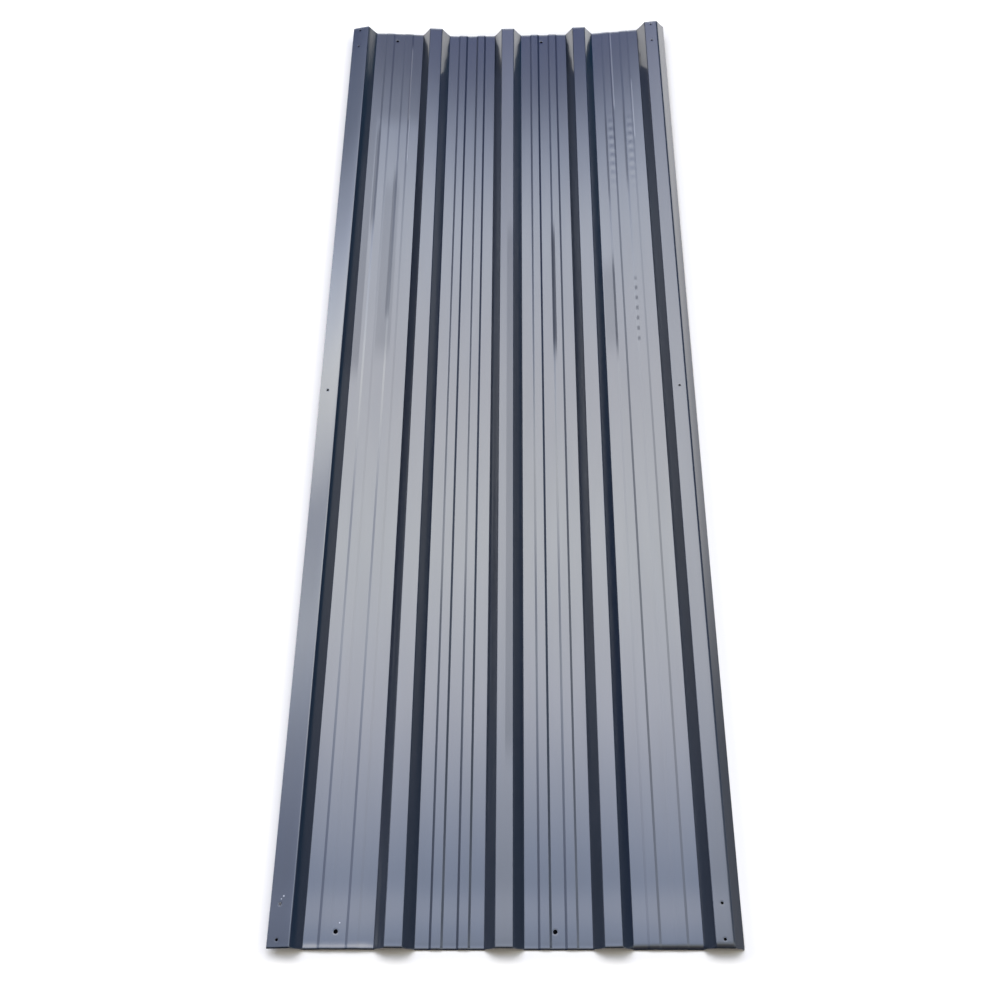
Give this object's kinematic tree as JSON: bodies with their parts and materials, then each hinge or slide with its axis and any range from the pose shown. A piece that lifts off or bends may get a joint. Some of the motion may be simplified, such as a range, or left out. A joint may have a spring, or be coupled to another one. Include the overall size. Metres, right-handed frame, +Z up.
{
  "type": "corrugated metal sheet",
  "caption": "Painted steel roofing sheet with flat-topped ribs, beaded pans and small fixing holes, lying flat on its pans.",
  "frame": {"origin": "middle of the sheet's plan on the level it lies on, at the underside of the pans", "axes": "+Y along the ribs, away from the end nearest the camera; +X across the ribs towards the full edge rib; +Z up, out of the painted face"},
  "size_m": [0.4502, 1.29, 0.013],
  "materials": {
    "painted_steel": "semi-gloss anthracite coil coating"
  },
  "bodies": {
    "root": {"roofing_sheet": "painted_steel"}
  },
  "joints": []
}
